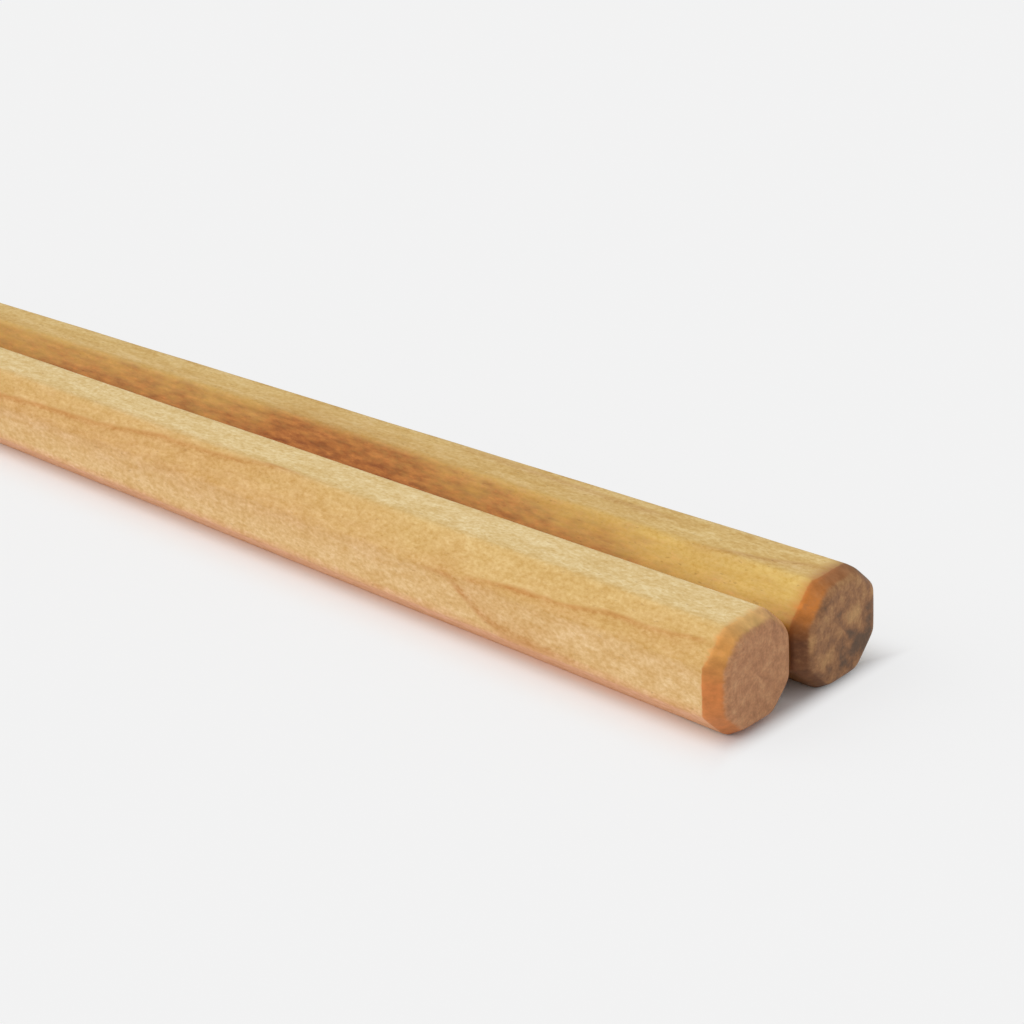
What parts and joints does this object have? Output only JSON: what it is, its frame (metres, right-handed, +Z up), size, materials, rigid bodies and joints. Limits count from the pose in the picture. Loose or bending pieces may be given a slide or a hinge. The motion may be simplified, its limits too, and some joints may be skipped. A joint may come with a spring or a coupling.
{
  "type": "pair of wooden chopsticks",
  "caption": "Wooden chopsticks lying side by side, for picking up food: sanded, octagonal and tapered from a bevelled head to a narrow blunt tip.",
  "frame": {"origin": "on the surface that the pair lies on, under the middle of the pair's box", "axes": "+X along the pair towards the heads, +Z up, the front stick on the -Y side"},
  "size_m": [0.2305, 0.0164, 0.008],
  "materials": {
    "pale_wood": "sanded, bare",
    "amber_wood": "sanded, bare, with a stained head"
  },
  "bodies": {
    "root": {"front_chopstick": "pale_wood", "rear_chopstick": "amber_wood"}
  },
  "joints": []
}
